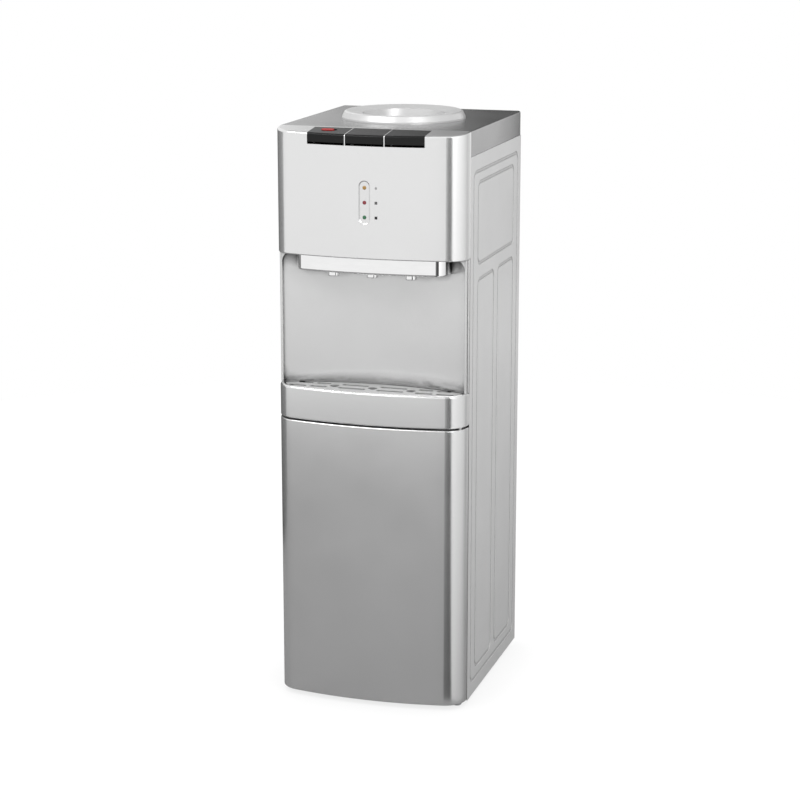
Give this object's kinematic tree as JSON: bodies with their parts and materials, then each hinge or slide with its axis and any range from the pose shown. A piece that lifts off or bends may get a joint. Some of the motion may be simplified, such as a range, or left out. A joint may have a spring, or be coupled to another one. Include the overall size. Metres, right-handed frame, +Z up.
{
  "type": "water cooler",
  "caption": "Floor-standing top-loading water cooler with a bottle seat, press keys over a tap recess, drip tray, storage door and pressed steel sides.",
  "frame": {"origin": "on the floor, at the centre of the footprint's bounding box", "axes": "+Z up, -Y out of the front with the keys and taps, +X to the user's right"},
  "size_m": [0.328, 0.388, 0.993],
  "materials": {
    "silver_front": "satin metallic silver lacquer",
    "silver_cover": "satin dark silver lacquer",
    "steel_side": "satin silver powder coat on pressed steel",
    "chrome": "polished plating",
    "black_key": "gloss black moulding",
    "lock_red": "gloss red moulding",
    "grille_silver": "satin silver",
    "tray_grey": "dark grey moulding",
    "seat_white": "polished pale moulding",
    "liner_white": "natural white moulding",
    "gasket_grey": "soft grey strip",
    "rubber_black": "matt black rubber",
    "zinc_sheet": "zinc-coated sheet",
    "plain_steel": "bright steel",
    "magnet_dark": "dark ferrite",
    "rod_plastic": "natural acetal",
    "indicator_silver": "smooth silver insert",
    "board_green": "circuit board",
    "led_amber": "tinted lens",
    "led_red": "tinted lens",
    "led_green": "tinted lens",
    "stainless": "drawn stainless",
    "evaporator_tube": "aluminium tube wound on the tank",
    "foam": "soft insulation",
    "silicone": "translucent hose",
    "black_paint": "black enamel",
    "black_plastic": "textured black"
  },
  "bodies": {
    "cabinet": {"front_panel": "silver_front", "recess_panel": "silver_front", "tray_housing": "silver_front", "top_cover": "silver_cover", "side_panel_left": "steel_side", "side_panel_right": "steel_side", "tap_housing": "chrome", "nozzles": "chrome", "cabinet_liner": "liner_white", "tap_bodies": "liner_white", "key_frame": "liner_white", "drain_spout": "liner_white", "rubber_feet": "rubber_black", "cord_gland": "rubber_black", "rear_panel": "zinc_sheet", "base_pan": "zinc_sheet", "tank_decks": "zinc_sheet", "hinge_bracket": "zinc_sheet", "hinge_pins": "plain_steel", "key_shaft": "plain_steel", "rear_screws": "plain_steel", "valve_spring_hot": "plain_steel", "valve_spring_normal": "plain_steel", "valve_spring_cold": "plain_steel", "magnet_catch": "magnet_dark", "indicator_plate": "indicator_silver", "indicator_board": "board_green", "led_power": "led_amber", "led_heating": "led_red", "led_cooling": "led_green", "cold_tank": "stainless", "hot_tank": "stainless", "evaporator_coil": "evaporator_tube", "cold_foam": "foam", "hot_jacket": "foam", "water_hoses": "silicone", "compressor": "black_paint", "compressor_pump": "black_paint", "condenser_tube": "black_paint", "condenser_wires": "black_paint", "switch_plate": "black_plastic", "condenser_clips": "black_plastic"},
    "door": {"door_shell": "silver_front", "door_liner": "liner_white", "door_gasket": "gasket_grey", "strike_plate": "plain_steel"},
    "key_hot": {"key_hot": "black_key"},
    "key_normal": {"key_normal": "black_key"},
    "key_cold": {"key_cold": "black_key"},
    "child_lock": {"child_lock": "lock_red"},
    "rod_hot": {"push_rod_hot": "rod_plastic"},
    "rod_normal": {"push_rod_normal": "rod_plastic"},
    "rod_cold": {"push_rod_cold": "rod_plastic"},
    "drip_tray": {"drip_tray": "tray_grey"},
    "drip_grille": {"drip_grille": "grille_silver"},
    "bottle_seat": {"bottle_seat": "seat_white", "feed_probe": "seat_white"},
    "rocker_heat": {"rocker_heat": "black_plastic"},
    "rocker_cool": {"rocker_cool": "black_plastic"},
    "drain_cap": {"drain_cap": "black_plastic"}
  },
  "joints": [
    {"name": "door_hinge", "type": "hinge", "parent": "cabinet", "child": "door", "pos_m": [0.1545, -0.162, 0], "axis": [0, 0, 1], "range_deg": [0, 115]},
    {"name": "key_hot_press", "type": "hinge", "parent": "cabinet", "child": "key_hot", "pos_m": [-0.067, -0.1505, 0.962], "axis": [1, 0, 0], "range_deg": [0, 4], "stiffness_Nm_per_rad": 0.2, "springref_deg": -3.44},
    {"name": "rod_hot_push", "type": "slide", "parent": "cabinet", "child": "rod_hot", "axis": [0, 0, -1], "range_m": [0, 0.0015], "deforming": ["valve_spring_hot"]},
    {"name": "key_normal_press", "type": "hinge", "parent": "cabinet", "child": "key_normal", "pos_m": [0, -0.1505, 0.962], "axis": [1, 0, 0], "range_deg": [0, 4], "stiffness_Nm_per_rad": 0.2, "springref_deg": -3.44},
    {"name": "rod_normal_push", "type": "slide", "parent": "cabinet", "child": "rod_normal", "axis": [0, 0, -1], "range_m": [0, 0.0015], "deforming": ["valve_spring_normal"]},
    {"name": "key_cold_press", "type": "hinge", "parent": "cabinet", "child": "key_cold", "pos_m": [0.067, -0.1505, 0.962], "axis": [1, 0, 0], "range_deg": [0, 4], "stiffness_Nm_per_rad": 0.2, "springref_deg": -3.44},
    {"name": "rod_cold_push", "type": "slide", "parent": "cabinet", "child": "rod_cold", "axis": [0, 0, -1], "range_m": [0, 0.0015], "deforming": ["valve_spring_cold"]},
    {"name": "child_lock_slide", "type": "slide", "parent": "key_hot", "child": "child_lock", "axis": [1, 0, 0], "range_m": [0, 0.005]},
    {"name": "drip_tray_lift", "type": "slide", "parent": "cabinet", "child": "drip_tray", "axis": [0, 0, 1], "range_m": [0, 0.06]},
    {"name": "drip_grille_lift", "type": "slide", "parent": "drip_tray", "child": "drip_grille", "axis": [0, 0, 1], "range_m": [0, 0.06]},
    {"name": "bottle_seat_lift", "type": "slide", "parent": "cabinet", "child": "bottle_seat", "axis": [0, 0, 1], "range_m": [0, 0.1]},
    {"name": "rocker_heat_tilt", "type": "hinge", "parent": "cabinet", "child": "rocker_heat", "pos_m": [-0.095, 0.1718, 0.286], "axis": [1, 0, 0], "range_deg": [-8, 8]},
    {"name": "rocker_cool_tilt", "type": "hinge", "parent": "cabinet", "child": "rocker_cool", "pos_m": [-0.065, 0.1718, 0.286], "axis": [1, 0, 0], "range_deg": [-8, 8]},
    {"name": "drain_cap_off", "type": "slide", "parent": "cabinet", "child": "drain_cap", "axis": [0, 1, 0], "range_m": [0, 0.02]}
  ],
  "couplings": [
    {"joint": "rod_hot_push", "follows": "key_hot_press", "m_per_rad": 0.02077},
    {"joint": "rod_normal_push", "follows": "key_normal_press", "m_per_rad": 0.02077},
    {"joint": "rod_cold_push", "follows": "key_cold_press", "m_per_rad": 0.02077}
  ]
}
